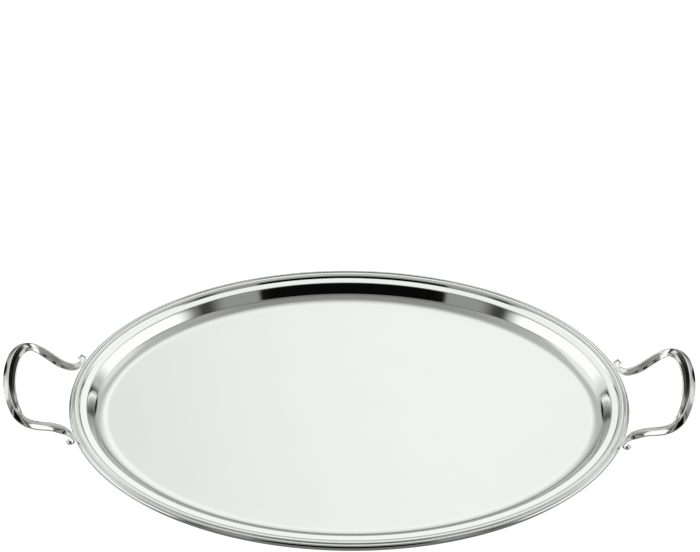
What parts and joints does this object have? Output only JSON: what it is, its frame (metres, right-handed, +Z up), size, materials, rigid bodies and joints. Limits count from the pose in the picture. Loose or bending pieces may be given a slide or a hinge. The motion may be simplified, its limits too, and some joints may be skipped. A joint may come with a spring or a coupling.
{
  "type": "serving tray",
  "caption": "Oval polished metal serving tray with a reeded rim, a satin well and a scrolled bow handle at each end.",
  "frame": {"origin": "centre of the flat underside that the tray stands on", "axes": "+X along the long axis towards the right handle, +Y across the tray, +Z up out of the well"},
  "size_m": [0.7332, 0.42, 0.0623],
  "materials": {
    "satin_silver": "satin silver-coloured steel in the well, polished on the wall and flange",
    "polished_silver": "mirror-polished silver-coloured metal"
  },
  "bodies": {
    "root": {"tray_body": "satin_silver", "rim_band": "polished_silver", "edge_bead": "polished_silver", "handle_left": "polished_silver", "handle_right": "polished_silver"}
  },
  "joints": []
}
